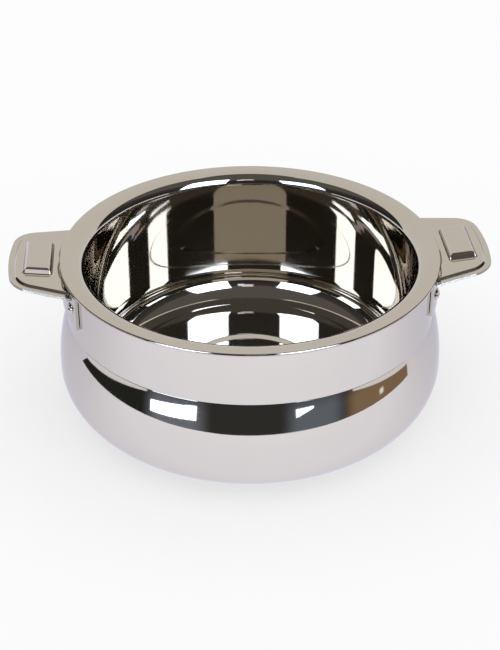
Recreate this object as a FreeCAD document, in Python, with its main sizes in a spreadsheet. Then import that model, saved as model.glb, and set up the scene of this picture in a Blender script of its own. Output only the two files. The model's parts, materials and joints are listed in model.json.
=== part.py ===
import FreeCAD, Part
import math
import os
import re
import Sketcher

# Double-walled serving pot with two flat handles. Z is up, the pot stands on z = 0
# and the handles lie along X. All lengths are in millimetres and all angles in degrees.
SIZES = {
    # Pot outline
    "neck_radius": 127.6,
    "neck_length": 37.0,
    "shoulder_drop": 43.6,
    "belly_height": 34.5,
    "belly_swell": 7.1,
    "crease_radius": 19.0,
    "base_lip": 8.0,
    # Rim and pressed liner
    "rim_overhang": 2.4,
    "rim_flat": 6.0,
    "wall_gap": 14.4,
    "wall_draw": 0.6,
    "liner_corner": 21.5,
    "floor_height": 13.0,
    "ring_step": 0.4,
    "ring_width": 17.2,
    "middle_radius": 46.0,
    "middle_slope": 4.8,
    "middle_drop": 1.3,
    # Sheet gauges and fits
    "liner_sheet": 0.7,
    "shell_sheet": 0.7,
    "handle_sheet": 0.8,
    "fit_gap": 0.3,
    "hole_gap": 0.15,
    # Base cover and filling plug
    "pan_sheet": 0.7,
    "pan_recess": 3.0,
    "pan_margin": 1.0,
    "plug_hole": 6.0,
    "plug_flange": 2.5,
    "plug_head_thick": 1.4,
    "plug_stem": 3.0,
    # Handle shells
    "handle_length": 35.3,
    "handle_half_width": 45.3,
    "handle_taper": 15.4,
    "handle_corner": 18.9,
    "corner_least": 1.0,
    "handle_tilt": 6.2,
    "handle_drop": 5.4,
    "root_overlap": 22.0,
    "plateau_inset": 3.8,
    "plateau_rise": 1.7,
    "plateau_slope": 43.0,
    "boss_root_margin": 5.0,
    "boss_tip_margin": 9.9,
    "boss_half_length": 21.3,
    "boss_rise": 3.9,
    "boss_slope": 38.0,
    "tray_inset": 5.5,
    "tray_depth": 4.0,
    # Bracket and backing plate
    "saddle_sheet": 2.0,
    "saddle_edge": 12.1,
    "saddle_edge_angle": 4.3,
    "tongue_thick": 2.0,
    "tongue_edge": 7.0,
    "tongue_tip_gap": 4.1,
    "plate_sheet": 1.2,
    "plate_edge_angle": 6.0,
    "plate_half_height": 6.5,
    "plate_angle_gap": 1.0,
    # Rivets, screws and nuts
    "rivet_clearance": 4.0,
    "rivet_angle": 20.0,
    "rivet_radius": 2.4,
    "rivet_head_flange": 1.8,
    "rivet_head_rise": 2.2,
    "rivet_tail_flange": 1.2,
    "rivet_tail_rise": 1.4,
    "screw_spread": 12.0,
    "screw_radius": 2.0,
    "screw_head_flange": 2.0,
    "screw_head_rise": 2.2,
    "screw_tip": 0.2,
    "nut_flats": 7.0,
    "nut_height": 3.2,
}

# Sizes that follow from the driving ones, as expressions of them.
RIM_HEIGHT = "(neck_length + shoulder_drop + belly_height)"
RIM_RADIUS = "(neck_radius + rim_overhang)"
HEM = "(2 * liner_sheet + shell_sheet)"
LINER_RADIUS = "(neck_radius - wall_gap)"
WALL_FOOT = f"({LINER_RADIUS} - wall_draw)"
RIM_ROLL = "(rim_overhang + wall_gap - rim_flat)"
MIDDLE_EDGE = "(middle_radius + middle_slope)"
RING_EDGE = f"({MIDDLE_EDGE} + ring_width)"
RING_LEVEL = "(floor_height + ring_step)"
MIDDLE_LEVEL = f"({RING_LEVEL} - middle_drop)"
BELLY_RADIUS = "(neck_radius + belly_swell)"
BASE_RADIUS = f"({BELLY_RADIUS} - belly_height)"
BLEND_SUM = "((belly_swell^2 + shoulder_drop^2) / (2 * belly_swell))"
SHOULDER_RADIUS = f"({BLEND_SUM} - crease_radius)"
PAN_TOP = "(pan_recess + pan_sheet)"
SADDLE_INNER = "(neck_radius + fit_gap)"
SADDLE_OUTER = f"({SADDLE_INNER} + saddle_sheet)"
SADDLE_HALF_ANGLE = "(rivet_angle + saddle_edge_angle)"
PLATE_OUTER = "(neck_radius - shell_sheet - fit_gap)"
PLATE_INNER = f"({PLATE_OUTER} - plate_sheet)"
PLATE_HALF_ANGLE = "(rivet_angle + plate_edge_angle)"
HANDLE_REACH = f"({RIM_RADIUS} + handle_length)"
HANDLE_ROOT = f"(max({RIM_RADIUS}; {SADDLE_OUTER}) + fit_gap)"
BOSS_START = f"({RIM_RADIUS} + boss_root_margin)"
BOSS_END = f"({HANDLE_REACH} - boss_tip_margin)"
SCREW_CENTRE = f"(({BOSS_START} + {BOSS_END}) / 2)"
TONGUE_REACH = f"({HANDLE_REACH} - tray_inset - handle_sheet - tongue_tip_gap)"
TONGUE_HALF_WIDTH = "(screw_spread + tongue_edge)"
TONGUE_TOP = "(tongue_thick - tray_depth)"
TRAY_UNDERSIDE = "(-handle_sheet - tray_depth)"
RIVET_DROP = "(handle_drop + handle_sheet + tray_depth + rivet_clearance)"
RIVET_HEIGHT = f"({RIM_HEIGHT} - {RIVET_DROP})"
RIVET_TAIL_END = f"({PLATE_INNER} - rivet_tail_rise)"
RIVET_HEAD_END = f"({SADDLE_OUTER} + rivet_head_rise)"

SIDES = {"right": 0, "left": 180}
RIVETS = {"front": "-rivet_angle", "rear": "rivet_angle"}
SCREWS = ("screw_spread", "-screw_spread")
FULL_TURN = 360
HEXAGON_SIDES = 6
TILT_AXIS = FreeCAD.Vector(0, -1, 0)
PLANE_UPRIGHT = FreeCAD.Vector(0, 1, 0)
UP = FreeCAD.Vector(0, 0, 1)
ORIGIN_POINT = (-1, 1)
X_AXIS, Y_AXIS = -1, -2
START, END, CENTRE = range(1, 4)

doc = FreeCAD.newDocument("serving_pot")
sheet = doc.addObject("Spreadsheet::Sheet", "sizes")
for row, (alias, value) in enumerate(SIZES.items(), start=1):
    sheet.set(f"A{row}", alias)
    sheet.set(f"B{row}", str(value))
    sheet.setAlias(f"B{row}", alias)
doc.recompute()

sub_parts = {}


def bound(text):
    """Write every size named in an expression as a reference to its cell."""
    return re.sub(r"[a-z_]+", lambda word: f"sizes.{word[0]}" if word[0] in SIZES else word[0], text)


def number(text):
    """The present value of an expression of sizes."""
    return float(sheet.evalExpression(bound(text)))


def new_body(label, solids=1, turn=0):
    """A sub-part: its label names its file and its turn places it about the pot's axis."""
    body = doc.addObject("PartDesign::Body", label)
    body.Label = label
    body.AllowCompound = solids > 1
    body.Placement = FreeCAD.Placement(FreeCAD.Vector(), FreeCAD.Rotation(UP, turn))
    sub_parts[label] = (body, solids)
    return body


def new_sketch(body, name, role):
    """A sketch on one of the body's own origin planes."""
    sketch = body.newObject("Sketcher::SketchObject", name)
    support = next(plane for plane in body.Origin.OriginFeatures if plane.Role == role)
    sketch.AttachmentSupport = [(support, "")]
    sketch.MapMode = "FlatFace"
    return sketch


def handle_sketch(body, name, level):
    """A sketch in the tilted plane of a handle, raised along its normal from the flange joint."""
    sketch = new_sketch(body, name, "XY_Plane")
    joint = f"({RIM_HEIGHT} - handle_drop - {RIM_RADIUS} * tan(handle_tilt))"
    sketch.AttachmentOffset = FreeCAD.Placement(
        FreeCAD.Vector(), FreeCAD.Rotation(TILT_AXIS, number("handle_tilt")))
    sketch.setExpression("AttachmentOffset.Rotation.Angle", bound("handle_tilt"))
    sketch.setExpression("AttachmentOffset.Base.x", bound(f"-({level}) * sin(handle_tilt)"))
    sketch.setExpression("AttachmentOffset.Base.z", bound(f"{joint} + ({level}) * cos(handle_tilt)"))
    return sketch


def rivet_sketch(body, name, azimuth):
    """An upright radial sketch whose horizontal axis is a rivet's axis."""
    sketch = new_sketch(body, name, "XZ_Plane")
    sketch.AttachmentOffset = FreeCAD.Placement(
        FreeCAD.Vector(), FreeCAD.Rotation(PLANE_UPRIGHT, number(azimuth)))
    sketch.setExpression("AttachmentOffset.Rotation.Angle", bound(azimuth))
    sketch.setExpression("AttachmentOffset.Base.y", bound(RIVET_HEIGHT))
    return sketch


def constrain(sketch, kind, places, text):
    """A dimension whose value is an expression of sizes."""
    index = sketch.addConstraint(Sketcher.Constraint(kind, *places, number(text)))
    sketch.setExpression(f"Constraints[{index}]", bound(text))


def pin_point(sketch, edge, place, across, along):
    """Hold one end of an edge at a place given by two expressions."""
    for text, kind, axis in ((across, "DistanceX", Y_AXIS), (along, "DistanceY", X_AXIS)):
        if text == "0":
            sketch.addConstraint(Sketcher.Constraint("PointOnObject", edge, place, axis))
        else:
            constrain(sketch, kind, (*ORIGIN_POINT, edge, place), text)


def arc_between(start, end, radius, turn):
    """The short arc from start to end, to the left for a turn of 1 and to the right for -1."""
    chord = end - start
    offset = math.sqrt(max(radius**2 - (chord.Length / 2)**2, 0))
    left = FreeCAD.Vector(-chord.y, chord.x, 0) / chord.Length
    centre = (start + end) / 2 + left * offset * turn
    ends = (start, end) if turn > 0 else (end, start)
    angles = [math.atan2(point.y - centre.y, point.x - centre.x) for point in ends]
    if angles[1] < angles[0]:
        angles[1] += 2 * math.pi
    return Part.ArcOfCircle(Part.Circle(centre, UP, radius), *angles)


def draw_outline(sketch, corners):
    """A closed outline through the corners. A corner is (across, along), or
    (across, along, radius, turn) where the edge that leaves it is an arc."""
    points = [FreeCAD.Vector(number(corner[0]), number(corner[1]), 0) for corner in corners]
    first = sketch.GeometryCount
    ends = []
    for index, corner in enumerate(corners):
        start = points[index]
        end = points[(index + 1) % len(points)]
        if len(corner) == 2:
            sketch.addGeometry(Part.LineSegment(start, end))
            ends.append((START, END))
        else:
            sketch.addGeometry(arc_between(start, end, number(corner[2]), corner[3]))
            ends.append((START, END) if corner[3] > 0 else (END, START))
    for index, corner in enumerate(corners):
        edge = first + index
        following = (index + 1) % len(corners)
        sketch.addConstraint(Sketcher.Constraint(
            "Coincident", edge, ends[index][1], first + following, ends[following][0]))
        pin_point(sketch, edge, ends[index][0], corner[0], corner[1])
        if len(corner) > 2:
            constrain(sketch, "Radius", (edge,), corner[2])


def draw_rectangle(sketch, left, bottom, right, top):
    """An upright rectangle given by the places of its sides."""
    draw_outline(sketch, [(left, bottom), (right, bottom), (right, top), (left, top)])


def draw_circle(sketch, across, along, radius):
    """A circle given by its centre and radius."""
    centre = FreeCAD.Vector(number(across), number(along), 0)
    circle = sketch.addGeometry(Part.Circle(centre, UP, number(radius)))
    if (across, along) == ("0", "0"):
        sketch.addConstraint(Sketcher.Constraint("Coincident", circle, CENTRE, *ORIGIN_POINT))
    else:
        pin_point(sketch, circle, CENTRE, across, along)
    constrain(sketch, "Radius", (circle,), radius)


def draw_handle_outline(sketch, inset):
    """The handle seen from above: straight tapering sides, a tip concentric with the pot and
    rounded corners, all moved inwards by the inset."""
    taper = math.radians(number("handle_taper"))
    corner_text = f"max(handle_corner - ({inset}); corner_least)"
    tip_text = f"{HANDLE_REACH} - ({inset})"
    root_x = f"{RIM_RADIUS} - root_overlap"
    root_y = f"(handle_half_width + root_overlap * tan(handle_taper) - ({inset}) / cos(handle_taper))"
    corner = number(corner_text)
    tip = number(tip_text)
    root = FreeCAD.Vector(number(root_x), number(root_y), 0)
    along = FreeCAD.Vector(math.cos(taper), -math.sin(taper), 0)
    inward = FreeCAD.Vector(-math.sin(taper), -math.cos(taper), 0)
    from_root = root + inward * corner
    reach = from_root.dot(along)
    run = math.sqrt(reach**2 - from_root.dot(from_root) + (tip - corner)**2) - reach
    centre = from_root + along * run
    side_end = centre - inward * corner
    tip_end = centre * (tip / centre.Length)

    def mirrored(point):
        return FreeCAD.Vector(point.x, -point.y, 0)

    tip_angle = math.atan2(tip_end.y, tip_end.x)
    side_angle = math.pi / 2 - taper
    edges = [
        Part.LineSegment(root, side_end),
        Part.ArcOfCircle(Part.Circle(centre, UP, corner), tip_angle, side_angle),
        Part.ArcOfCircle(Part.Circle(FreeCAD.Vector(), UP, tip), -tip_angle, tip_angle),
        Part.ArcOfCircle(Part.Circle(mirrored(centre), UP, corner), -side_angle, -tip_angle),
        Part.LineSegment(mirrored(root), mirrored(side_end)),
        Part.LineSegment(mirrored(root), root),
    ]
    side, corner_arc, tip_arc, far_corner, far_side, root_line = sketch.addGeometry(edges)
    sketch.addConstraint([
        Sketcher.Constraint("Tangent", side, END, corner_arc, END),
        Sketcher.Constraint("Tangent", corner_arc, START, tip_arc, END),
        Sketcher.Constraint("Tangent", tip_arc, START, far_corner, END),
        Sketcher.Constraint("Tangent", far_corner, START, far_side, END),
        Sketcher.Constraint("Coincident", far_side, START, root_line, START),
        Sketcher.Constraint("Coincident", root_line, END, side, START),
        Sketcher.Constraint("Coincident", tip_arc, CENTRE, *ORIGIN_POINT),
        Sketcher.Constraint("Symmetric", side, START, far_side, START, X_AXIS),
        Sketcher.Constraint("Equal", corner_arc, far_corner),
    ])
    pin_point(sketch, side, START, root_x, root_y)
    constrain(sketch, "Radius", (corner_arc,), corner_text)
    constrain(sketch, "Radius", (tip_arc,), tip_text)
    for line, sense in ((side, -1), (far_side, 1)):
        index = sketch.addConstraint(Sketcher.Constraint("Angle", line, sense * taper))
        sketch.setExpression(f"Constraints[{index}]", bound(f"{sense} * handle_taper * 1 deg"))


def revolve(body, sketch, axis="V_Axis", half_angle=None, cut=False):
    """Turn a sketch about one of its axes, right round or by a half angle to each side."""
    kind = "Groove" if cut else "Revolution"
    feature = body.newObject(f"PartDesign::{kind}", f"{sketch.Name}_{kind.lower()}")
    feature.Profile = sketch
    feature.ReferenceAxis = (sketch, [axis])
    feature.Angle = FULL_TURN
    if half_angle:
        feature.Midplane = True
        feature.setExpression("Angle", bound(f"2 * ({half_angle})"))


def extrude(body, sketch, length, down=False, slope=None, cut=False):
    """Pad or pocket a sketch along its normal, upwards unless said to go down. Sides that
    lean by a slope draw in as they leave the sketch."""
    kind = "Pocket" if cut else "Pad"
    feature = body.newObject(f"PartDesign::{kind}", f"{sketch.Name}_{kind.lower()}")
    feature.Profile = sketch
    feature.Reversed = down != cut
    feature.setExpression("Length", bound(length))
    if slope:
        feature.setExpression("TaperAngle", bound(f"-({slope})"))


def cut_through(body, sketch):
    """Remove the sketch's column on both sides of its plane."""
    feature = body.newObject("PartDesign::Pocket", f"{sketch.Name}_pocket")
    feature.Profile = sketch
    feature.SideType = "Symmetric"
    feature.Type = "ThroughAll"


def liner():
    """Inner bowl: sunk middle, raised ring, round corner, drawn wall, rolled flat rim and hem."""
    body = new_body("liner")
    sketch = new_sketch(body, "liner_profile", "XZ_Plane")
    floor_radius = f"({WALL_FOOT} - liner_corner)"
    corner_top = "(floor_height + liner_corner)"
    flat_start = f"({LINER_RADIUS} + {RIM_ROLL})"
    roll_bottom = f"({RIM_HEIGHT} - {RIM_ROLL})"
    hem_radius = f"({HEM} / 2)"
    hem_start = f"({RIM_RADIUS} - {hem_radius})"
    hem_bottom = f"({RIM_HEIGHT} - {HEM})"
    slot_end = f"({RIM_RADIUS} - liner_sheet)"
    slot_top = f"({RIM_HEIGHT} - liner_sheet)"
    slot_bottom = f"({slot_top} - shell_sheet)"
    draw_outline(sketch, [
        ("0", MIDDLE_LEVEL),
        ("middle_radius", MIDDLE_LEVEL),
        (MIDDLE_EDGE, RING_LEVEL),
        (f"{RING_EDGE} - ring_step", RING_LEVEL),
        (RING_EDGE, "floor_height"),
        (floor_radius, "floor_height", "liner_corner", 1),
        (WALL_FOOT, corner_top),
        (LINER_RADIUS, roll_bottom, RIM_ROLL, -1),
        (flat_start, RIM_HEIGHT),
        (hem_start, RIM_HEIGHT, hem_radius, -1),
        (RIM_RADIUS, f"{RIM_HEIGHT} - {hem_radius}", hem_radius, -1),
        (hem_start, hem_bottom),
        (SADDLE_INNER, hem_bottom),
        (SADDLE_INNER, slot_bottom),
        (slot_end, slot_bottom),
        (slot_end, slot_top),
        (flat_start, slot_top, f"{RIM_ROLL} - liner_sheet", 1),
        (f"{LINER_RADIUS} + liner_sheet", roll_bottom),
        (f"{WALL_FOOT} + liner_sheet", corner_top, "liner_corner + liner_sheet", -1),
        (floor_radius, "floor_height - liner_sheet"),
        (RING_EDGE, "floor_height - liner_sheet"),
        (f"{RING_EDGE} - ring_step", f"{RING_LEVEL} - liner_sheet"),
        (MIDDLE_EDGE, f"{RING_LEVEL} - liner_sheet"),
        ("middle_radius", f"{MIDDLE_LEVEL} - liner_sheet"),
        ("0", f"{MIDDLE_LEVEL} - liner_sheet"),
    ])
    revolve(body, sketch)


def shell_blend(depth):
    """The place where the crease meets the shoulder, at a depth inside the shell's outer face."""
    spoke = f"(crease_radius + {depth})"
    across = f"(neck_radius + crease_radius - {spoke} * (1 - belly_swell / {BLEND_SUM}))"
    along = f"({RIM_HEIGHT} - neck_length - {spoke} * shoulder_drop / {BLEND_SUM})"
    return across, along


def outer_shell():
    """Outer skin: a lip held in the hem, straight neck, crease, belly and turned-in base ring."""
    body = new_body("outer_shell")
    sketch = new_sketch(body, "shell_profile", "XZ_Plane")
    lip_edge = f"({RIM_RADIUS} - liner_sheet - fit_gap)"
    lip_top = f"({RIM_HEIGHT} - liner_sheet)"
    neck_bottom = f"({RIM_HEIGHT} - neck_length)"
    ring_edge = f"({BASE_RADIUS} - base_lip)"
    draw_outline(sketch, [
        (lip_edge, lip_top),
        (lip_edge, f"{lip_top} - shell_sheet"),
        ("neck_radius", f"{lip_top} - shell_sheet"),
        ("neck_radius", neck_bottom, "crease_radius", 1),
        (*shell_blend("0"), SHOULDER_RADIUS, -1),
        (BELLY_RADIUS, "belly_height", "belly_height", -1),
        (BASE_RADIUS, "0"),
        (ring_edge, "0"),
        (ring_edge, "shell_sheet"),
        (BASE_RADIUS, "shell_sheet", "belly_height - shell_sheet", 1),
        (f"{BELLY_RADIUS} - shell_sheet", "belly_height", f"{SHOULDER_RADIUS} - shell_sheet", 1),
        (*shell_blend("shell_sheet"), "crease_radius + shell_sheet", -1),
        ("neck_radius - shell_sheet", neck_bottom),
        ("neck_radius - shell_sheet", lip_top),
    ])
    revolve(body, sketch)
    for side, turn in SIDES.items():
        rivet_holes(body, f"shell_{side}", turn)


def rivet_holes(body, name, turn=0):
    """Round radial holes for the two rivets on one side of the pot."""
    for place, azimuth in RIVETS.items():
        sketch = rivet_sketch(body, f"{name}_hole_{place}", f"{turn} + {azimuth}")
        draw_rectangle(sketch, RIVET_TAIL_END, "0", RIVET_HEAD_END, "rivet_radius + hole_gap")
        revolve(body, sketch, axis="H_Axis", cut=True)


def insulation_foam():
    """Foam that fills the space between the skins, with pockets round the backing plates."""
    body = new_body("insulation_foam")
    sketch = new_sketch(body, "foam_profile", "XZ_Plane")
    skin = "(shell_sheet + fit_gap)"
    inside = "(liner_sheet + fit_gap)"
    top = f"({RIM_HEIGHT} - {RIM_ROLL})"
    bottom = f"({PAN_TOP} + fit_gap)"
    pocket_radius = "(plug_hole + fit_gap)"
    pocket_top = f"({PAN_TOP} + plug_stem + fit_gap)"
    corner_top = "(floor_height + liner_corner)"
    foot = f"({BASE_RADIUS} + sqrt((belly_height - {skin})^2 - (belly_height - {bottom})^2))"
    draw_outline(sketch, [
        ("0", pocket_top),
        (pocket_radius, pocket_top),
        (pocket_radius, bottom),
        (foot, bottom, f"belly_height - {skin}", 1),
        (f"{BELLY_RADIUS} - {skin}", "belly_height", f"{SHOULDER_RADIUS} - {skin}", 1),
        (*shell_blend(skin), f"crease_radius + {skin}", -1),
        (f"neck_radius - {skin}", f"{RIM_HEIGHT} - neck_length"),
        (f"neck_radius - {skin}", top),
        (f"{LINER_RADIUS} + {inside}", top),
        (f"{WALL_FOOT} + {inside}", corner_top, f"liner_corner + {inside}", -1),
        (f"{WALL_FOOT} - liner_corner", f"floor_height - {inside}"),
        (MIDDLE_EDGE, f"floor_height - {inside}"),
        ("middle_radius", f"{MIDDLE_LEVEL} - {inside}"),
        ("0", f"{MIDDLE_LEVEL} - {inside}"),
    ])
    revolve(body, sketch)
    for side, turn in SIDES.items():
        pocket = new_sketch(body, f"plate_pocket_{side}", "XZ_Plane")
        pocket.AttachmentOffset = FreeCAD.Placement(
            FreeCAD.Vector(), FreeCAD.Rotation(PLANE_UPRIGHT, turn))
        draw_rectangle(pocket, f"{RIVET_TAIL_END} - fit_gap",
                       f"{RIVET_HEIGHT} - plate_half_height - fit_gap",
                       "neck_radius", f"{RIVET_HEIGHT} + plate_half_height + fit_gap")
        revolve(body, pocket, half_angle=f"{PLATE_HALF_ANGLE} + plate_angle_gap", cut=True)


def base_pan():
    """Recessed disc that closes the shell from below and rests on its turned-in ring."""
    body = new_body("base_pan")
    sketch = new_sketch(body, "pan_profile", "XZ_Plane")
    seat_inner = f"({BASE_RADIUS} - base_lip - fit_gap)"
    seat_outer = f"({BASE_RADIUS} - pan_margin)"
    rise = "(pan_recess - shell_sheet)"
    draw_outline(sketch, [
        ("plug_hole", "pan_recess"),
        (f"{seat_inner} - {rise}", "pan_recess"),
        (seat_inner, "shell_sheet"),
        (seat_outer, "shell_sheet"),
        (seat_outer, "shell_sheet + pan_sheet"),
        (seat_inner, "shell_sheet + pan_sheet"),
        (f"{seat_inner} - {rise}", PAN_TOP),
        ("plug_hole", PAN_TOP),
    ])
    revolve(body, sketch)


def base_plug():
    """Plug in the filling hole of the base cover."""
    body = new_body("base_plug")
    sketch = new_sketch(body, "plug_profile", "XZ_Plane")
    head = "(plug_hole + plug_flange)"
    stem = "(plug_hole - hole_gap)"
    draw_outline(sketch, [
        ("0", "pan_recess - plug_head_thick"),
        (head, "pan_recess - plug_head_thick"),
        (head, "pan_recess"),
        (stem, "pan_recess"),
        (stem, f"{PAN_TOP} + plug_stem"),
        ("0", f"{PAN_TOP} + plug_stem"),
    ])
    revolve(body, sketch)


def trim_root(body, name, radius):
    """Cut a piece back to a circle about the pot's axis."""
    sketch = new_sketch(body, name, "XY_Plane")
    draw_circle(sketch, "0", "0", radius)
    cut_through(body, sketch)


def draw_screw_circles(sketch, radius):
    """One circle on each of a handle's two screw axes."""
    for along in SCREWS:
        draw_circle(sketch, SCREW_CENTRE, along, radius)


def handle_top(side, turn):
    """Upper handle shell: flange, raised plateau and rectangular boss, hollow underneath."""
    body = new_body(f"{side}_handle_top", turn=turn)
    flange = handle_sketch(body, f"{side}_flange", "0")
    draw_handle_outline(flange, "0")
    extrude(body, flange, "handle_sheet")
    plateau = handle_sketch(body, f"{side}_plateau", "handle_sheet")
    draw_handle_outline(plateau, "plateau_inset")
    extrude(body, plateau, "plateau_rise", slope="plateau_slope")
    boss = handle_sketch(body, f"{side}_boss", "handle_sheet + plateau_rise")
    draw_rectangle(boss, BOSS_START, "-boss_half_length", BOSS_END, "boss_half_length")
    extrude(body, boss, "boss_rise", slope="boss_slope")
    hollow = handle_sketch(body, f"{side}_hollow", "0")
    draw_handle_outline(hollow, "plateau_inset + handle_sheet")
    extrude(body, hollow, "plateau_rise", slope="plateau_slope", cut=True)
    boss_hollow = handle_sketch(body, f"{side}_boss_hollow", "plateau_rise")
    draw_rectangle(boss_hollow, f"{BOSS_START} + handle_sheet", "handle_sheet - boss_half_length",
                   f"{BOSS_END} - handle_sheet", "boss_half_length - handle_sheet")
    extrude(body, boss_hollow, "boss_rise", slope="boss_slope", cut=True)
    trim_root(body, f"{side}_top_root", HANDLE_ROOT)


def handle_bottom(side, turn):
    """Lower handle shell: a shallow tray under the flange."""
    body = new_body(f"{side}_handle_bottom", turn=turn)
    flange = handle_sketch(body, f"{side}_tray_flange", "-handle_sheet")
    draw_handle_outline(flange, "0")
    extrude(body, flange, "handle_sheet")
    tray = handle_sketch(body, f"{side}_tray", "-handle_sheet")
    draw_handle_outline(tray, "tray_inset")
    extrude(body, tray, "tray_depth", down=True)
    hollow = handle_sketch(body, f"{side}_tray_hollow", "0")
    draw_handle_outline(hollow, "tray_inset + handle_sheet")
    extrude(body, hollow, "tray_depth", down=True, cut=True)
    holes = handle_sketch(body, f"{side}_tray_holes", TRAY_UNDERSIDE)
    draw_screw_circles(holes, "screw_radius + hole_gap")
    extrude(body, holes, "handle_sheet", cut=True)
    trim_root(body, f"{side}_tray_root", HANDLE_ROOT)


def handle_bracket(side, turn):
    """Bracket: a tongue inside the handle and a saddle that hugs the neck below the rim."""
    body = new_body(f"{side}_handle_bracket", turn=turn)
    tongue = handle_sketch(body, f"{side}_tongue", "-tray_depth")
    draw_rectangle(tongue, f"{RIM_RADIUS} - root_overlap", f"-{TONGUE_HALF_WIDTH}",
                   TONGUE_REACH, TONGUE_HALF_WIDTH)
    extrude(body, tongue, "tongue_thick")
    holes = handle_sketch(body, f"{side}_tongue_holes", "-tray_depth")
    draw_screw_circles(holes, "screw_radius + hole_gap")
    extrude(body, holes, "tongue_thick", cut=True)
    trim_root(body, f"{side}_tongue_root", SADDLE_INNER)
    saddle = new_sketch(body, f"{side}_saddle", "XZ_Plane")
    draw_rectangle(saddle, SADDLE_INNER, f"{RIVET_HEIGHT} - saddle_edge",
                   SADDLE_OUTER, f"{RIM_HEIGHT} - {HEM} - fit_gap")
    revolve(body, saddle, half_angle=SADDLE_HALF_ANGLE)
    rivet_holes(body, f"{side}_saddle")


def backing_plate(side, turn):
    """Curved plate inside the neck that the rivets pull against."""
    body = new_body(f"{side}_backing_plate", turn=turn)
    sketch = new_sketch(body, f"{side}_plate", "XZ_Plane")
    draw_rectangle(sketch, PLATE_INNER, f"{RIVET_HEIGHT} - plate_half_height",
                   PLATE_OUTER, f"{RIVET_HEIGHT} + plate_half_height")
    revolve(body, sketch, half_angle=PLATE_HALF_ANGLE)
    rivet_holes(body, f"{side}_plate")


def bracket_rivets(side, turn):
    """Two domed rivets through the saddle, the neck and the backing plate."""
    body = new_body(f"{side}_bracket_rivets", solids=len(RIVETS), turn=turn)
    head = "(rivet_radius + rivet_head_flange)"
    tail = "(rivet_radius + rivet_tail_flange)"
    dome = f"(({head}^2 + rivet_head_rise^2) / (2 * rivet_head_rise))"
    tail_face = f"({PLATE_INNER} - hole_gap)"
    for place, azimuth in RIVETS.items():
        sketch = rivet_sketch(body, f"{side}_rivet_{place}", azimuth)
        draw_outline(sketch, [
            (RIVET_TAIL_END, "0"),
            (RIVET_HEAD_END, "0", dome, 1),
            (SADDLE_OUTER, head),
            (SADDLE_OUTER, "rivet_radius"),
            (tail_face, "rivet_radius"),
            (tail_face, tail),
            (RIVET_TAIL_END, tail),
        ])
        revolve(body, sketch, axis="H_Axis")


def handle_screws(side, turn):
    """Two pan-head screws that come up through the tray and the tongue."""
    body = new_body(f"{side}_handle_screws", solids=len(SCREWS), turn=turn)
    heads = handle_sketch(body, f"{side}_screw_heads", TRAY_UNDERSIDE)
    draw_screw_circles(heads, "screw_radius + screw_head_flange")
    extrude(body, heads, "screw_head_rise", down=True)
    shanks = handle_sketch(body, f"{side}_screw_shanks", TRAY_UNDERSIDE)
    draw_screw_circles(shanks, "screw_radius")
    extrude(body, shanks, f"{TONGUE_TOP} + nut_height + screw_tip - {TRAY_UNDERSIDE}")


def handle_nuts(side, turn):
    """Two hexagon nuts on the bracket's tongue."""
    body = new_body(f"{side}_handle_nuts", solids=len(SCREWS), turn=turn)
    sketch = handle_sketch(body, f"{side}_nut_outline", TONGUE_TOP)
    sector = FULL_TURN / HEXAGON_SIDES
    spoke = f"(nut_flats / 2 / cos({sector / 2}))"
    for middle in SCREWS:
        corners = []
        for corner in range(HEXAGON_SIDES):
            across = f"{SCREW_CENTRE} + {spoke} * cos({corner * sector})"
            along = f"{middle} + {spoke} * sin({corner * sector})"
            corners.append((across, along))
        draw_outline(sketch, corners)
    draw_screw_circles(sketch, "screw_radius + hole_gap")
    extrude(body, sketch, "nut_height")


def check_and_write():
    """Write each sub-part once every object is sound and has the solids it should."""
    doc.recompute()
    for item in doc.Objects:
        if {"Invalid", "Error"} & set(item.State):
            raise RuntimeError(f"{item.Label} failed: {item.State}")
    for label, (body, solids) in sub_parts.items():
        shape = body.Shape
        if shape.isNull() or not shape.isValid() or len(shape.Solids) != solids:
            raise RuntimeError(f"{label} is not {solids} sound solid(s)")
    os.makedirs("parts", exist_ok=True)
    for label, (body, solids) in sub_parts.items():
        body.Shape.exportStep(os.path.join("parts", f"{label}.step"))


liner()
outer_shell()
insulation_foam()
base_pan()
base_plug()
for side, turn in SIDES.items():
    handle_top(side, turn)
    handle_bottom(side, turn)
    handle_bracket(side, turn)
    backing_plate(side, turn)
    bracket_rivets(side, turn)
    handle_screws(side, turn)
    handle_nuts(side, turn)
check_and_write()
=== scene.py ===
import json
import math

import bmesh
import bpy
from mathutils import Matrix, Vector


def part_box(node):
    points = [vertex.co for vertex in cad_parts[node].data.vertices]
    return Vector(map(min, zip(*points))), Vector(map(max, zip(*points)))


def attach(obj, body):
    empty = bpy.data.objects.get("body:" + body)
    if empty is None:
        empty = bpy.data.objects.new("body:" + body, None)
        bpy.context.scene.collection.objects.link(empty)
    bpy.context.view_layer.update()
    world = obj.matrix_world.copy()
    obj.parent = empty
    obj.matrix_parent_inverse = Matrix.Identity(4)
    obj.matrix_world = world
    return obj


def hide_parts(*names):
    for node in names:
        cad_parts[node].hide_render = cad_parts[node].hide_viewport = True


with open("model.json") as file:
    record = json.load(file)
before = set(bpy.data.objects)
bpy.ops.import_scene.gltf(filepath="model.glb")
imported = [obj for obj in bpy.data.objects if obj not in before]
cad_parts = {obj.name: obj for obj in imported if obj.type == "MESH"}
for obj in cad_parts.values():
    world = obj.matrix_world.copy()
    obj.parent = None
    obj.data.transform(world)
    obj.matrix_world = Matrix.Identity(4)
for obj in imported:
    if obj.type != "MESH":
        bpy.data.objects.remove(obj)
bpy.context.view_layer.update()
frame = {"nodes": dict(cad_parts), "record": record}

# Double-walled serving pot with two flat handles: polished steel, seen from the front and above.
# Lengths are in metres and angles in degrees, in the row frame.
MM = 0.001
BODY = "root"
SAME_PLACE = 0.001 * MM

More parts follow.
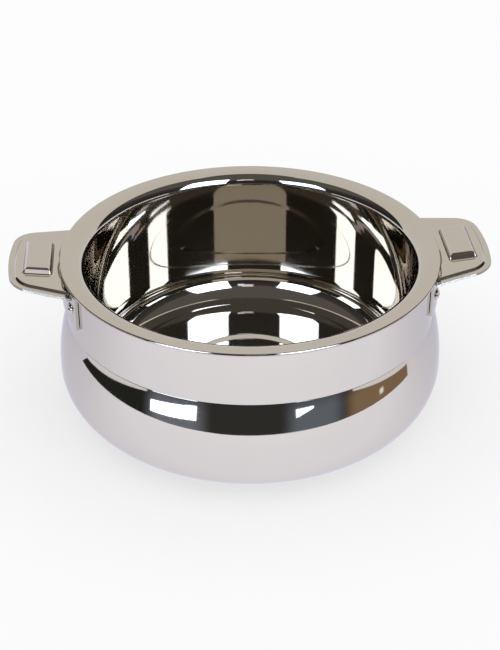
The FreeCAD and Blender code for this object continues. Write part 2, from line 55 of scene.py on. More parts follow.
# Pot outline. The rim and the belly come from the frame, and the pot stands on its zero level.
LINER_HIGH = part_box("liner")[1]
RIM_RADIUS = LINER_HIGH.y
RIM_HEIGHT = LINER_HIGH.z
BELLY_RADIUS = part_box("outer_shell")[1].y
SHEET = 0.7 * MM
FIT_GAP = 0.3 * MM
NECK_RADIUS = RIM_RADIUS - 2.4 * MM
NECK_BOTTOM = RIM_HEIGHT - 39.1 * MM
BELLY_HEIGHT = 34.5 * MM
CREASE_RADIUS = 2.0 * MM
BASE_LIP = 8.0 * MM
LINER_RADIUS = NECK_RADIUS - 14.4 * MM
WALL_DRAW = 0.6 * MM
LINER_CORNER = 21.5 * MM
FLOOR_HEIGHT = 13.0 * MM
RING_LEVEL = FLOOR_HEIGHT + 0.4 * MM
RING_EDGE = 68.0 * MM
RING_STEP = 0.4 * MM
MIDDLE_RADIUS = 46.0 * MM
MIDDLE_EDGE = 50.8 * MM
MIDDLE_LEVEL = RING_LEVEL - 1.3 * MM
RING_ROUND = 0.5 * MM
MIDDLE_ROUND = 6.0 * MM
RIM_FLAT = 6.0 * MM
ROLL_DROP = 8.5 * MM
HEM = 3 * SHEET
TURNS = 240
BOWL_STEPS, ROLL_STEPS, HEM_STEPS = 20, 24, 16
CREASE_STEPS, SHOULDER_STEPS, BELLY_STEPS = 16, 32, 40

# Handle shells, in the tilted plane of each handle.
HANDLE_SHEET = 0.8 * MM
HANDLE_REACH = RIM_RADIUS + 35.3 * MM
HANDLE_HALF_WIDTH = 45.3 * MM
HANDLE_TAPER = 15.4
HANDLE_CORNER = 18.9 * MM
HANDLE_SMALLEST_CORNER = 1.0 * MM
HANDLE_TILT = 6.2
HANDLE_DROP = 5.4 * MM
HANDLE_ROOT = RIM_RADIUS + FIT_GAP
HANDLE_EDGE_ROUND = 0.35 * MM
PLATEAU_INSET = 3.8 * MM
PLATEAU_RISE = 1.7 * MM
PLATEAU_SLOPE = 43.0
PLATEAU_FOOT_ROUND = 1.0 * MM
PLATEAU_TOP_ROUND = 1.5 * MM
PLATEAU_RUN = 1.5 * MM
BOSS_START = RIM_RADIUS + 5.0 * MM
BOSS_END = HANDLE_REACH - 9.9 * MM
BOSS_HALF_LENGTH = 21.3 * MM
BOSS_RISE = 3.9 * MM
BOSS_SLOPE = 38.0
BOSS_CORNER = 2.0 * MM
BOSS_SMALLEST_CORNER = 0.2 * MM
BOSS_FOOT_ROUND = 1.8 * MM
BOSS_TOP_ROUND = 3.4 * MM
BOSS_FOOT_RUN = 1.2 * MM
BOSS_TOP_RUN = 1.9 * MM
TRAY_INSET = 5.5 * MM
TRAY_DEPTH = 4.0 * MM
TRAY_TOP_ROUND = 0.8 * MM
TRAY_FLOOR_ROUND = 1.2 * MM
TRAY_RUN = 2.0 * MM
SIDE_STEPS, CORNER_STEPS, TIP_STEPS, ROOT_STEPS = 8, 10, 32, 24
SECTION_STEPS, BOSS_STEPS = 6, 8
SETTLING_PASSES = 12
SIDES = {"right": 0, "left": 180}

# Camera: the pot is turned a little in the photograph, so the camera stands left of the -Y axis.
PHOTO_HEIGHT = 650
FOCAL_PIXELS = 1410.8
SENSOR = 36.0
CAMERA_TURN = 4.2
CAMERA_ELEVATION = 32.575
CAMERA_DISTANCE = 1.0008
CAMERA_AIM = Vector((0, 0, RIM_HEIGHT - 61.5 * MM))

# Studio. Azimuths are from the camera's side of the pot, positive to the right of the picture.
TABLE_RADIUS = 0.315
TABLE_BACK_RADIUS = 0.9
TABLE_BACK_EDGE = 93.0
TABLE_FRONT, TABLE_REAR = -0.3, 0.25
TABLE_TURNS, TABLE_BACK_TURNS = 128, 64
FLOOR_SIZE = 40.0
WHITE_SHARE = 0.5
AMBIENT = 1.0
ROOM_RADIUS = 4.2
ROOM_FLOOR = -4.0
ROOM_TOP = 4.5
ROOM_TURNS = 64
BACKDROP_RADIUS = 1.9
BACKDROP_EDGE = 128.0
BACKDROP_FOOT = -0.3
BACKDROP_HEIGHT = 2.2
BACKDROP_ROUND = 1.2
BACKDROP_STEPS = 16
BACKDROP_TURNS = 48
BACKDROP_TOP_RADIUS = 0.55
CARD_DISTANCE = 3.5
CARD_BEHIND = CARD_DISTANCE + 0.1
CARD_EYE = 85.0 * MM
CARD_UNEVENNESS = 0.1
LAMP_COLOUR = (0.93, 1.09, 1.4)
LAMP_STRENGTH = 5.0
WHITE_BOARD = (0.92, 0.91, 0.99)
BOUNCES = 24
NOISE_LOW, NOISE_HIGH = 0.3, 0.7


def arc(centre, radius, start, end, steps):
    """Points of an arc between two angles."""
    points = []
    for step in range(steps + 1):
        angle = math.radians(start + (end - start) * step / steps)
        across = centre[0] + radius * math.cos(angle)
        up = centre[1] + radius * math.sin(angle)
        points.append(Vector((across, up)))
    return points


def rounded(corners, steps):
    """A path through (across, up, radius) corners, each rounded by an arc of its radius."""
    places = [Vector(corner[:2]) for corner in corners]
    path = [places[0]]
    for index in range(1, len(corners) - 1):
        place = places[index]
        radius = corners[index][2]
        before = (places[index - 1] - place).normalized()
        after = (places[index + 1] - place).normalized()
        if not radius:
            path.append(place)
            continue
        half = before.angle(after) / 2
        centre = place + (before + after).normalized() * radius / math.sin(half)
        first = place + before * radius / math.tan(half) - centre
        last = place + after * radius / math.tan(half) - centre
        turn = math.atan2(first.cross(last), first.dot(last))
        for step in range(steps + 1):
            path.append(centre + Matrix.Rotation(turn * step / steps, 2) @ first)
    path.append(places[-1])
    kept = path[:1]
    for point in path[1:]:
        if (point - kept[-1]).length > SAME_PLACE:
            kept.append(point)
    return kept


def new_piece(name, verts, faces, replaces, slot):
    """A mesh object of the pot that stands for CAD nodes."""
    mesh = bpy.data.meshes.new(name)
    mesh.from_pydata(verts, [], faces)
    mesh.update()
    piece = bpy.data.objects.new(name, mesh)
    bpy.context.scene.collection.objects.link(piece)
    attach(piece, BODY)
    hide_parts(*replaces)
    piece.data.materials.append(MATERIALS[slot])
    return piece


def smooth(piece, sharp_angle=40):
    """Smooth shading in which flat runs stay flat and real edges stay sharp."""
    mesh = piece.data
    mesh.polygons.foreach_set("use_smooth", [True] * len(mesh.polygons))
    mesh.set_sharp_from_angle(angle=math.radians(sharp_angle))
    weighted = piece.modifiers.new("Weighted normals", "WEIGHTED_NORMAL")
    weighted.keep_sharp = True


def thicken(piece, sheet):
    """Give a skin its sheet thickness, away from the side that its faces look to."""
    solid = piece.modifiers.new("Sheet", "SOLIDIFY")
    solid.thickness = sheet
    solid.offset = -1
    solid.use_even_offset = True


def lathe_mesh(path, start=0.0, end=360.0, turns=TURNS):
    """Vertices and faces of a path of (radius, height) points turned about Z."""
    full = end - start >= 360
    columns = turns if full else turns + 1
    verts = []
    rows = []
    for radius, height in path:
        if radius < SAME_PLACE:
            rows.append([len(verts)] * columns)
            verts.append((0, 0, height))
            continue
        rows.append(range(len(verts), len(verts) + columns))
        for column in range(columns):
            angle = math.radians(start + (end - start) * column / turns)
            verts.append((radius * math.cos(angle), radius * math.sin(angle), height))
    faces = []
    for low, high in zip(rows, rows[1:]):
        for column in range(turns):
            following = (column + 1) % columns
            corners = (low[column], low[following], high[following], high[column])
            faces.append(tuple(dict.fromkeys(corners)))
    return verts, faces


def liner_path():
    """Inner bowl from the middle of its floor over the rolled rim to the lip of its hem."""
    rim_start = RIM_RADIUS - RIM_FLAT
    wall_top = RIM_HEIGHT - ROLL_DROP
    lean = WALL_DRAW / (wall_top - FLOOR_HEIGHT - LINER_CORNER)
    hem = HEM / 2
    bowl = rounded([
        (0, MIDDLE_LEVEL, 0),
        (MIDDLE_RADIUS, MIDDLE_LEVEL, MIDDLE_ROUND),
        (MIDDLE_EDGE, RING_LEVEL, MIDDLE_ROUND),
        (RING_EDGE - RING_STEP, RING_LEVEL, RING_ROUND),
        (RING_EDGE, FLOOR_HEIGHT, RING_ROUND),
        (LINER_RADIUS - WALL_DRAW - LINER_CORNER * lean, FLOOR_HEIGHT, LINER_CORNER),
        (LINER_RADIUS, wall_top, 0),
    ], BOWL_STEPS)
    roll = [Vector((rim_start + point.x * (rim_start - LINER_RADIUS), wall_top + point.y * ROLL_DROP))
            for point in arc((0, 0), 1, 180, 90, ROLL_STEPS)]
    rim = rounded([
        (rim_start, RIM_HEIGHT, 0),
        (RIM_RADIUS, RIM_HEIGHT, hem),
        (RIM_RADIUS, RIM_HEIGHT - HEM, hem),
        (NECK_RADIUS + FIT_GAP, RIM_HEIGHT - HEM, 0),
    ], HEM_STEPS)
    return bowl + roll[1:] + rim[1:]


def shell_path():
    """Outer skin from under the hem to the edge of the base ring."""
    crease = Vector((NECK_RADIUS + CREASE_RADIUS, NECK_BOTTOM))
    swell = BELLY_RADIUS - NECK_RADIUS
    drop = NECK_BOTTOM - BELLY_HEIGHT
    shoulder_radius = (swell**2 + drop**2) / (2 * swell) - CREASE_RADIUS
    shoulder = Vector((BELLY_RADIUS - shoulder_radius, BELLY_HEIGHT))
    lean = math.degrees(math.atan2(crease.y - shoulder.y, crease.x - shoulder.x))
    belly = Vector((BELLY_RADIUS - BELLY_HEIGHT, BELLY_HEIGHT))
    path = [Vector((NECK_RADIUS, RIM_HEIGHT - 2 * SHEET))]
    path += arc(crease, CREASE_RADIUS, 180, 180 + lean, CREASE_STEPS)
    path += arc(shoulder, shoulder_radius, lean, 0, SHOULDER_STEPS)[1:]
    path += arc(belly, BELLY_HEIGHT, 0, -90, BELLY_STEPS)[1:]
    path.append(Vector((belly.x - BASE_LIP, 0)))
    return path


def make_pot():
    """The inner bowl with its rim, and the outer skin."""
    skins = (("inner_bowl", "liner", liner_path()), ("outer_skin", "outer_shell", shell_path()))
    for name, node, path in skins:
        verts, faces = lathe_mesh(path)
        outwards = [face[::-1] for face in faces]
        skin = new_piece(name, verts, outwards, [node], "polished_steel")
        thicken(skin, SHEET)
        smooth(skin)


def handle_place(across, along, level):
    """A point of a handle's tilted plane, raised along its normal, in the row frame."""
    tilt = math.radians(HANDLE_TILT)
    joint = RIM_HEIGHT - HANDLE_DROP - RIM_RADIUS * math.tan(tilt)
    x = across * math.cos(tilt) - level * math.sin(tilt)
    return Vector((x, along, joint + across * math.sin(tilt) + level * math.cos(tilt)))


def root_across(along, level):
    """Where a handle meets the round of the rim, at a place along its width."""
    tilt = math.radians(HANDLE_TILT)
    x = math.sqrt(HANDLE_ROOT**2 - along**2)
    return (x + level * math.sin(tilt)) / math.cos(tilt)


def handle_outline(inset, level):
    """The handle's outline moved inwards, from its rear root round the tip to its front root."""
    taper = math.radians(HANDLE_TAPER)
    forward = Vector((math.cos(taper), -math.sin(taper)))
    inward = Vector((-math.sin(taper), -math.cos(taper)))
    side = Vector((RIM_RADIUS, HANDLE_HALF_WIDTH - inset / math.cos(taper)))
    corner = max(HANDLE_CORNER - inset, HANDLE_SMALLEST_CORNER)
    tip = HANDLE_REACH - inset
    first = side + inward * corner
    reach = first.dot(forward)
    centre = first + forward * (math.sqrt(reach**2 - first.length_squared + (tip - corner)**2) - reach)
    side_end = centre - inward * corner
    root_along = side.y
    for _ in range(SETTLING_PASSES):
        root_along = side.y - (root_across(root_along, level) - side.x) * math.tan(taper)
    root = Vector((root_across(root_along, level), root_along))
    tip_angle = math.degrees(math.atan2(centre.y, centre.x))
    half = [root.lerp(side_end, step / SIDE_STEPS) for step in range(SIDE_STEPS)]
    half += arc(centre, corner, 90 - HANDLE_TAPER, tip_angle, CORNER_STEPS)
    far_half = [Vector((point.x, -point.y)) for point in reversed(half)]
    return half + arc((0, 0), tip, tip_angle, -tip_angle, TIP_STEPS)[1:-1] + far_half


def boss_outline(inset):
    """The raised rectangle's outline with rounded corners, moved inwards."""
    middle = (BOSS_START + BOSS_END) / 2
    half_x = (BOSS_END - BOSS_START) / 2 - inset
    half_y = BOSS_HALF_LENGTH - inset
    corner = max(BOSS_CORNER - inset, BOSS_SMALLEST_CORNER)
    points = []
    for quarter, (sign_x, sign_y) in enumerate(((1, 1), (-1, 1), (-1, -1), (1, -1))):
        centre = (middle + sign_x * (half_x - corner), sign_y * (half_y - corner))
        points += arc(centre, corner, 90 * quarter, 90 * quarter + 90, CORNER_STEPS)
    return points


def add_loop(bm, outline, level):
    """The vertices of an outline at a level of the handle's plane."""
    return [bm.verts.new(handle_place(point.x, point.y, level)) for point in outline]


def join_loops(bm, loops, closed):
    """Quads between each loop and the next, all of as many vertices."""
    for first, second in zip(loops, loops[1:]):
        for index in range(len(first) if closed else len(first) - 1):
            following = (index + 1) % len(first)
            bm.faces.new((first[index], first[following], second[following], second[index]))


def ring_edges(bm, loop):
    """The edges of a closed loop of vertices, made where they are missing."""
    edges = []
    for first, second in zip(loop, loop[1:] + loop[:1]):
        edges.append(bm.edges.get((first, second)) or bm.edges.new((first, second)))
    return edges


def handle_skin(bm, section):
    """Strips along a section of (inset, level) points, and the closed edge of what they leave open."""
    loops = [add_loop(bm, handle_outline(inset, level), level) for inset, level in section]
    join_loops(bm, loops, closed=False)
    inset, level = section[-1]
    width = handle_outline(inset, level)[0].y
    root = []
    for step in range(1, ROOT_STEPS):
        along = -width + 2 * width * step / ROOT_STEPS
        root.append(bm.verts.new(handle_place(root_across(along, level), along, level)))
    return ring_edges(bm, loops[-1] + root)


def finish_handle(bm, name, side, node, upwards):
    """Turn the skin's faces outwards, set it on its side of the pot and give it its thickness."""
    bmesh.ops.recalc_face_normals(bm, faces=bm.faces)
    lean = sum(face.normal.z * face.calc_area() for face in bm.faces)
    if (lean > 0) != upwards:
        bmesh.ops.reverse_faces(bm, faces=bm.faces)
    bmesh.ops.rotate(bm, verts=bm.verts, matrix=Matrix.Rotation(math.radians(SIDES[side]), 3, "Z"))
    piece = new_piece(name, [], [], [node], "polished_steel")
    bm.to_mesh(piece.data)
    bm.free()
    thicken(piece, HANDLE_SHEET)
    smooth(piece)


def make_handle_top(side):
    """Pressed upper shell: rolled flange edge, sloping plateau and raised rectangle."""
    bm = bmesh.new()
    plateau = HANDLE_SHEET + PLATEAU_RISE
    plateau_draw = PLATEAU_RISE * math.tan(math.radians(PLATEAU_SLOPE))
    section = rounded([
        (0, 0, 0),
        (0, HANDLE_SHEET, HANDLE_EDGE_ROUND),
        (PLATEAU_INSET, HANDLE_SHEET, PLATEAU_FOOT_ROUND),
        (PLATEAU_INSET + plateau_draw, plateau, PLATEAU_TOP_ROUND),
        (PLATEAU_INSET + plateau_draw + PLATEAU_RUN, plateau, 0),
    ], SECTION_STEPS)
    open_edges = handle_skin(bm, section)
    boss_draw = BOSS_RISE * math.tan(math.radians(BOSS_SLOPE))
    boss = rounded([
        (-BOSS_FOOT_RUN, plateau, 0),
        (0, plateau, BOSS_FOOT_ROUND),
        (boss_draw, plateau + BOSS_RISE, BOSS_TOP_ROUND),
        (boss_draw + BOSS_TOP_RUN, plateau + BOSS_RISE, 0),
    ], BOSS_STEPS)
    loops = [add_loop(bm, boss_outline(inset), level) for inset, level in boss]
    join_loops(bm, loops, closed=True)
    bmesh.ops.triangle_fill(bm, use_beauty=True, edges=open_edges + ring_edges(bm, loops[0]))
    bmesh.ops.triangle_fill(bm, use_beauty=True, edges=ring_edges(bm, loops[-1]))
    finish_handle(bm, f"{side}_handle_shell", side, f"{side}_handle_top", upwards=True)


def make_handle_tray(side):
    """Pressed lower shell: flange and shallow tray."""
    bm = bmesh.new()
    floor = -HANDLE_SHEET - TRAY_DEPTH
    section = rounded([
        (0, 0, 0),
        (0, -HANDLE_SHEET, HANDLE_EDGE_ROUND),
        (TRAY_INSET, -HANDLE_SHEET, TRAY_TOP_ROUND),
        (TRAY_INSET, floor, TRAY_FLOOR_ROUND),
        (TRAY_INSET + TRAY_RUN, floor, 0),
    ], SECTION_STEPS)
    bmesh.ops.triangle_fill(bm, use_beauty=True, edges=handle_skin(bm, section))
    finish_handle(bm, f"{side}_handle_tray", side, f"{side}_handle_bottom", upwards=False)


def new_material(name):
    """A material with its node tree and its main shader."""
    material = bpy.data.materials.new(name)
    material.use_nodes = True
    return material, material.node_tree, material.node_tree.nodes["Principled BSDF"]


def add_node(tree, kind, links=None, **values):
    """A shader node with its values set and its inputs linked."""
    node = tree.nodes.new(f"ShaderNode{kind}")
    for name, value in values.items():
        if name in node.inputs:
            node.inputs[name].default_value = value
        else:
            setattr(node, name, value)
    for name, source in (links or {}).items():
        tree.links.new(source, node.inputs[name])
    return node


def object_place(tree):
    """Places on the object, in metres of the row frame."""
    return add_node(tree, "TexCoord").outputs["Object"]


def turned_place(tree):
    """Places by distance from the pot's axis and height only, for marks left by turning."""
    parts = add_node(tree, "SeparateXYZ", {"Vector": object_place(tree)})
    flat = add_node(tree, "CombineXYZ", {"X": parts.outputs["X"], "Y": parts.outputs["Y"]})
    radius = add_node(tree, "VectorMath", {0: flat.outputs[0]}, operation="LENGTH")
    return add_node(tree, "CombineXYZ", {"X": radius.outputs["Value"], "Y": parts.outputs["Z"]}).outputs[0]


def noise(tree, place, scale, detail=3.0):
    """A noise value at a scale in lumps per metre."""
    return add_node(tree, "TexNoise", {"Vector": place}, Scale=scale, Detail=detail).outputs["Fac"]


def between(tree, value, low, high):
    """A noise value spread between two numbers."""
    spread = add_node(tree, "MapRange", {"Value": value}, **{
        "From Min": NOISE_LOW, "From Max": NOISE_HIGH, "To Min": low, "To Max": high})
    return spread.outputs["Result"]


def tinted(tree, value, dark, light):
    """A colour that wanders between two tones with a noise value.

    The colours of a Mix node are its inputs 6 and 7 and its output 2.
    """
    tint = add_node(tree, "Mix", data_type="RGBA")
    tint.inputs[6].default_value = (*dark, 1)
    tint.inputs[7].default_value = (*light, 1)
    tree.links.new(value, tint.inputs[0])
    return tint.outputs[2]


def bump(tree, height, distance, normal=None):
    """A normal tilted by a height of so many metres."""
    links = {"Height": height}
    if normal:
        links["Normal"] = normal
    return add_node(tree, "Bump", links, Strength=1.0, Distance=distance).outputs["Normal"]


def polished_steel():
    """Mirror-polished stainless sheet: faint waves, turned lines and smears, duller at grazing angles."""
    material, tree, shader = new_material("polished_steel")
    place = object_place(tree)
    lines = noise(tree, turned_place(tree), 1400, detail=6)
    smears = noise(tree, place, 24, detail=5)
    colour = tinted(tree, smears, (0.605, 0.565, 0.5), (0.635, 0.595, 0.53))
    wave = bump(tree, noise(tree, place, 30, detail=1), 0.02 * MM)
    tree.links.new(colour, shader.inputs["Base Color"])
    tree.links.new(between(tree, smears, 0.02, 0.06), shader.inputs["Roughness"])
    tree.links.new(bump(tree, lines, 0.0012 * MM, wave), shader.inputs["Normal"])
    shader.inputs["Metallic"].default_value = 1
    shader.inputs["Specular Tint"].default_value = (0.84, 0.83, 0.84, 1)
    return material


def satin_steel():
    """Satin stainless sheet with fine turned lines."""
    material, tree, shader = new_material("satin_steel")
    lines = noise(tree, turned_place(tree), 2200, detail=8)
    blotches = noise(tree, object_place(tree), 60)
    colour = tinted(tree, blotches, (0.52, 0.51, 0.5), (0.63, 0.62, 0.6))
    tree.links.new(colour, shader.inputs["Base Color"])
    tree.links.new(between(tree, lines, 0.2, 0.42), shader.inputs["Roughness"])
    tree.links.new(bump(tree, lines, 0.01 * MM), shader.inputs["Normal"])
    shader.inputs["Metallic"].default_value = 1
    return material


def fastener_steel():
    """Bright zinc-plated steel, a little cloudy."""
    material, tree, shader = new_material("fastener_steel")
    clouds = noise(tree, object_place(tree), 500)
    colour = tinted(tree, clouds, (0.5, 0.51, 0.54), (0.64, 0.64, 0.62))
    tree.links.new(colour, shader.inputs["Base Color"])
    tree.links.new(between(tree, clouds, 0.22, 0.4), shader.inputs["Roughness"])
    tree.links.new(bump(tree, clouds, 0.02 * MM), shader.inputs["Normal"])
    shader.inputs["Metallic"].default_value = 1
    return material


def foam():
    """Rigid cream foam with a cut, cellular face."""
    material, tree, shader = new_material("foam")
    place = object_place(tree)
    cells = add_node(tree, "TexVoronoi", {"Vector": place}, Scale=900.0).outputs["Distance"]
    tone = noise(tree, place, 80)
    colour = tinted(tree, tone, (0.78, 0.68, 0.43), (0.87, 0.79, 0.56))
    tree.links.new(colour, shader.inputs["Base Color"])
    tree.links.new(between(tree, tone, 0.75, 0.9), shader.inputs["Roughness"])
    tree.links.new(bump(tree, cells, 0.4 * MM), shader.inputs["Normal"])
    return material


def plug_rubber():
    """Dark moulded rubber with a dusty bloom."""
    material, tree, shader = new_material("plug_rubber")
    place = object_place(tree)
    bloom = noise(tree, place, 350, detail=5)
    colour = tinted(tree, bloom, (0.018, 0.018, 0.019), (0.05, 0.049, 0.047))
    tree.links.new(colour, shader.inputs["Base Color"])
    tree.links.new(between(tree, bloom, 0.5, 0.7), shader.inputs["Roughness"])
    tree.links.new(bump(tree, noise(tree, place, 2500), 0.05 * MM), shader.inputs["Normal"])
    return material


def dress_nodes():
    """Give every CAD node the finish of its material slot."""
    for part in frame["record"]["subparts"]:
        for slot in frame["nodes"][part["node"]].material_slots:
            slot.material = MATERIALS[part["material_slot"]]


def white_rays(tree):
    """1 for the rays that see the white background: camera, glossy and transmission rays."""
    rays = add_node(tree, "LightPath")
    shiny = add_node(tree, "Math", {0: rays.outputs["Is Camera Ray"], 1: rays.outputs["Is Glossy Ray"]},
                     operation="MAXIMUM")
    return add_node(tree, "Math", {0: shiny.outputs[0], 1: rays.outputs["Is Transmission Ray"]},
                    operation="MAXIMUM").outputs[0]


def floor_material():
    """Plain white floor that keeps the pot's shadow."""
    material, tree, shader = new_material("floor")
    shader.inputs["Base Color"].default_value = (0.97, 0.97, 0.98, 1)
    shader.inputs["Roughness"].default_value = 1
    shader.inputs["Specular IOR Level"].default_value = 0
    white = add_node(tree, "Emission", Color=(1, 1, 1, 1), Strength=1.0)
    share = add_node(tree, "Math", {0: white_rays(tree)}, operation="MULTIPLY")
    share.inputs[1].default_value = WHITE_SHARE
    mixed = add_node(tree, "MixShader", {0: share.outputs[0], 1: shader.outputs[0], 2: white.outputs[0]})
    tree.links.new(mixed.outputs[0], tree.nodes["Material Output"].inputs["Surface"])
    return material


def card_material(name, colour, strength, edge):
    """A card's own light, a little uneven, that fades out over a share of the card along its edges."""
    material, tree, _ = new_material(name)
    tone = noise(tree, object_place(tree), 0.8, detail=2)
    low = [(1 - CARD_UNEVENNESS) * part for part in colour]
    high = [(1 + CARD_UNEVENNESS) * part for part in colour]
    glow = add_node(tree, "Emission", {"Color": tinted(tree, tone, low, high)}, Strength=strength)
    parts = add_node(tree, "SeparateXYZ", {"Vector": add_node(tree, "TexCoord").outputs["UV"]})
    fades = []
    for axis in ("X", "Y"):
        inside = add_node(tree, "Math", {0: parts.outputs[axis]}, operation="PINGPONG")
        inside.inputs[1].default_value = 0.5
        fade = add_node(tree, "MapRange", {"Value": inside.outputs[0]}, interpolation_type="SMOOTHSTEP",
                        **{"From Max": edge})
        fades.append(fade.outputs["Result"])
    share = add_node(tree, "Math", {0: fades[0], 1: fades[1]}, operation="MULTIPLY")
    clear = add_node(tree, "BsdfTransparent")
    mixed = add_node(tree, "MixShader", {0: share.outputs[0], 1: clear.outputs[0], 2: glow.outputs[0]})
    tree.links.new(mixed.outputs[0], tree.nodes["Material Output"].inputs["Surface"])
    return material


def graded_material(name, axis, start, end, stops):
    """A prop's own light, whose colour changes along an axis through (share of the way, colour) stops."""
    material, tree, _ = new_material(name)
    parts = add_node(tree, "SeparateXYZ", {"Vector": object_place(tree)})
    way = add_node(tree, "MapRange", {"Value": parts.outputs[axis]}, **{"From Min": start, "From Max": end})
    ramp = add_node(tree, "ValToRGB", {"Fac": way.outputs["Result"]})
    elements = ramp.color_ramp.elements
    while len(elements) < len(stops):
        elements.new(1)
    for element, (place, colour) in zip(elements, stops):
        element.position = place
        element.color = (*colour, 1)
    glow = add_node(tree, "Emission", {"Color": ramp.outputs["Color"]}, Strength=1.0)
    tree.links.new(glow.outputs[0], tree.nodes["Material Output"].inputs["Surface"])
    return material


def only_mirrored(prop):
    """Let a prop be seen in the steel only: it neither shows in the picture nor lights it."""
    prop.visible_camera = False
    prop.visible_diffuse = False
    prop.visible_shadow = False


def stage_piece(name, verts, faces, material):
    """A prop of the studio, which is not part of the pot."""
    mesh = bpy.data.meshes.new(name)
    mesh.from_pydata(verts, [], faces)
    prop = bpy.data.objects.new(name, mesh)
    bpy.context.scene.collection.objects.link(prop)
    prop.data.materials.append(material)
    return prop


def front_heading(azimuth):
    """The angle about Z, from +X, of an azimuth that is counted from the camera's side."""
    return azimuth - 90 - CAMERA_TURN


def round_the_back(edge):
    """The headings between which a prop stands behind the pot, from an azimuth on both sides."""
    return front_heading(edge), front_heading(360 - edge)


def make_floor():
    """A white floor for the picture, and the table in the steel: round in front, wide behind."""
    half = FLOOR_SIZE / 2
    corners = [(-half, -half, 0), (half, -half, 0), (half, half, 0), (-half, half, 0)]
    floor = stage_piece("floor", corners, [(0, 1, 2, 3)], floor_material())
    floor.visible_glossy = False
    # The table's glow is brightest at its front, towards the lamps, and dims towards its back: painted lamp
    # light falling off, with painted shade behind the pot.
    paper = graded_material("table", "Y", TABLE_FRONT, TABLE_REAR, [
        (0.0, (1.14, 1.15, 1.3)),
        (0.3, (1.06, 1.07, 1.22)),
        (0.5, (0.89, 0.9, 1.04)),
        (0.75, (0.8, 0.81, 0.95)),
        (1.0, (0.64, 0.65, 0.77)),
    ])
    verts, faces = lathe_mesh([(0, 0), (TABLE_RADIUS, 0)], turns=TABLE_TURNS)
    only_mirrored(stage_piece("table", verts, faces, paper))
    ring = [(TABLE_RADIUS, 0), (TABLE_BACK_RADIUS, 0)]
    verts, faces = lathe_mesh(ring, *round_the_back(TABLE_BACK_EDGE), TABLE_BACK_TURNS)
    only_mirrored(stage_piece("table_back", verts, faces, paper))


def make_room():
    """What stands round the table: a dim room in front and at the sides, a pale backdrop behind."""
    room = [(0, ROOM_FLOOR), (ROOM_RADIUS, ROOM_FLOOR), (ROOM_RADIUS, ROOM_TOP), (0, ROOM_TOP)]
    verts, faces = lathe_mesh(room, turns=ROOM_TURNS)
    dusk = graded_material("room", "Z", 0, ROOM_TOP, [
        (0.0, (0.04, 0.04, 0.04)),
        (0.4, (0.03, 0.03, 0.028)),
        (0.9, (0.06, 0.055, 0.05)),
        (1.0, (0.12, 0.115, 0.105)),
    ])
    only_mirrored(stage_piece("room", verts, faces, dusk))
    sweep = rounded([
        (BACKDROP_RADIUS, BACKDROP_FOOT, 0),
        (BACKDROP_RADIUS, BACKDROP_HEIGHT, BACKDROP_ROUND),
        (BACKDROP_TOP_RADIUS, BACKDROP_HEIGHT, 0),
    ], BACKDROP_STEPS)
    verts, faces = lathe_mesh(sweep, *round_the_back(BACKDROP_EDGE), BACKDROP_TURNS)
    paper = graded_material("backdrop", "Z", 0, BACKDROP_HEIGHT, [
        (0.0, (0.95, 0.97, 1.15)),
        (0.08, (0.88, 0.89, 0.98)),
        (0.25, (0.8, 0.78, 0.745)),
        (1.0, (0.74, 0.72, 0.68)),
    ])
    only_mirrored(stage_piece("backdrop", verts, faces, paper))


def make_card(name, azimuths, elevations, colour, strength=1.0, edge=0.3, lift=(0, 0),
              distance=CARD_DISTANCE):
    """A flat upright card that faces the pot and fills a range of directions as seen from it.

    Its lower and upper edges are so many degrees higher at the last azimuth than at the first.
    """
    heading = math.radians(front_heading(sum(azimuths) / 2))
    middle = Vector((math.cos(heading), math.sin(heading), CARD_EYE / distance)) * distance
    across = Vector((-math.sin(heading), math.cos(heading), 0))
    half = distance * math.tan(math.radians(azimuths[1] - azimuths[0]) / 2)
    low, high = elevations
    corners = []
    for side, angle in ((-half, low), (half, low + lift[0]), (half, high + lift[1]), (-half, high)):
        rise = distance * math.tan(math.radians(angle))
        corners.append(middle + across * side + Vector((0, 0, rise)))
    card = stage_piece(name, corners, [(0, 1, 2, 3)], card_material(name, colour, strength, edge))
    places = card.data.uv_layers.new(name="card")
    for corner, place in zip(places.data, ((0, 0), (1, 0), (1, 1), (0, 1))):
        corner.uv = place
    only_mirrored(card)


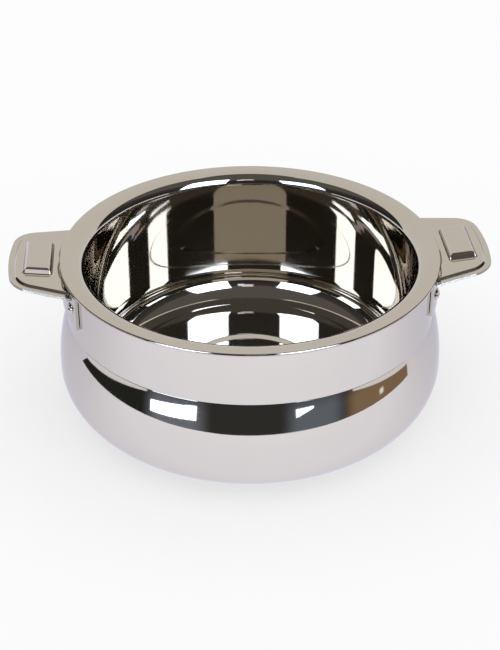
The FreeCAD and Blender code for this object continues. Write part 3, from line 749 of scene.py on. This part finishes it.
def make_lamps():
    """Two soft boxes in front of the pot, small lamps below and between them, white and dull boards."""
    lamp = {"colour": LAMP_COLOUR, "strength": LAMP_STRENGTH}
    crisp = {"colour": WHITE_BOARD, "edge": 0.02}
    behind = {"distance": CARD_BEHIND}
    make_card("left_soft_box", (-56, -23), (21, 48), edge=0.04, **lamp)
    make_card("right_soft_box", (16.5, 50.5), (10, 60), edge=0.04, **lamp)
    make_card("left_low_lamp", (-56, -28.5), (-13.5, -6.4), edge=0.04, lift=(2.7, 5.2), **lamp)
    make_card("right_low_lamp", (24.5, 35), (-8, -2.4), edge=0.1, lift=(4.6, 0), **lamp)
    make_card("slim_lamp", (4.5, 10.5), (36, 46), LAMP_COLOUR, edge=0.1)
    make_card("front_board", (-4, 8.5), (38, 50), (0.98, 0.92, 1.02), edge=0.2)
    make_card("left_white_board", (-112, -58), (-15.9, 9), lift=(12.5, 0), **crisp)
    make_card("right_white_board", (58, 106), (-3.4, 9), lift=(-10.9, 0), **crisp)
    make_card("left_grey_board", (-62, -20), (-40, 10), (0.21, 0.23, 0.28), **behind)
    make_card("right_grey_board", (16, 56), (-40, 10), (0.16, 0.185, 0.235), **behind)
    make_card("left_dark_board", (-125, -50), (-40, 8), (0.022, 0.024, 0.021), edge=0.1, **behind)
    make_card("brown_board", (50, 112), (-40, 2), (0.29, 0.195, 0.12), edge=0.2, **behind)
    make_card("left_end_board", (-128, -110), (-40, 9), **crisp)
    make_card("right_end_board", (99, 128), (-40, 9), **crisp)
    make_card("brown_spark", (75, 79.5), (-14.5, -10), (1.1, 1.08, 1.0), edge=0.4)


def make_world():
    """White all round where the picture shows it, and a plain soft light on everything."""
    world = bpy.data.worlds.new("studio")
    bpy.context.scene.world = world
    world.use_nodes = True
    tree = world.node_tree
    soft = tree.nodes["Background"]
    soft.inputs["Color"].default_value = (1, 1, 1, 1)
    soft.inputs["Strength"].default_value = AMBIENT
    white = add_node(tree, "Background", Color=(1, 1, 1, 1), Strength=1.0)
    mixed = add_node(tree, "MixShader", {0: white_rays(tree), 1: soft.outputs[0], 2: white.outputs[0]})
    tree.links.new(mixed.outputs[0], tree.nodes["World Output"].inputs["Surface"])


def make_camera():
    """The camera at the photograph's angle and distance."""
    data = bpy.data.cameras.new("camera")
    data.sensor_width = SENSOR
    data.lens = SENSOR * FOCAL_PIXELS / PHOTO_HEIGHT
    camera = bpy.data.objects.new("camera", data)
    bpy.context.scene.collection.objects.link(camera)
    heading = math.radians(front_heading(0))
    rise = math.radians(CAMERA_ELEVATION)
    level = math.cos(rise)
    back = Vector((math.cos(heading) * level, math.sin(heading) * level, math.sin(rise)))
    camera.location = CAMERA_AIM + back * CAMERA_DISTANCE
    camera.rotation_euler = (-back).to_track_quat("-Z", "Y").to_euler()
    bpy.context.scene.camera = camera


FINISHES = (polished_steel, satin_steel, fastener_steel, foam, plug_rubber)
MATERIALS = {make.__name__: make() for make in FINISHES}
dress_nodes()
make_pot()
for side in SIDES:
    make_handle_top(side)
    make_handle_tray(side)
make_floor()
make_room()
make_lamps()
make_world()
make_camera()
bpy.context.scene.view_settings.view_transform = "Standard"
bpy.context.scene.cycles.max_bounces = BOUNCES
bpy.context.scene.cycles.glossy_bounces = BOUNCES
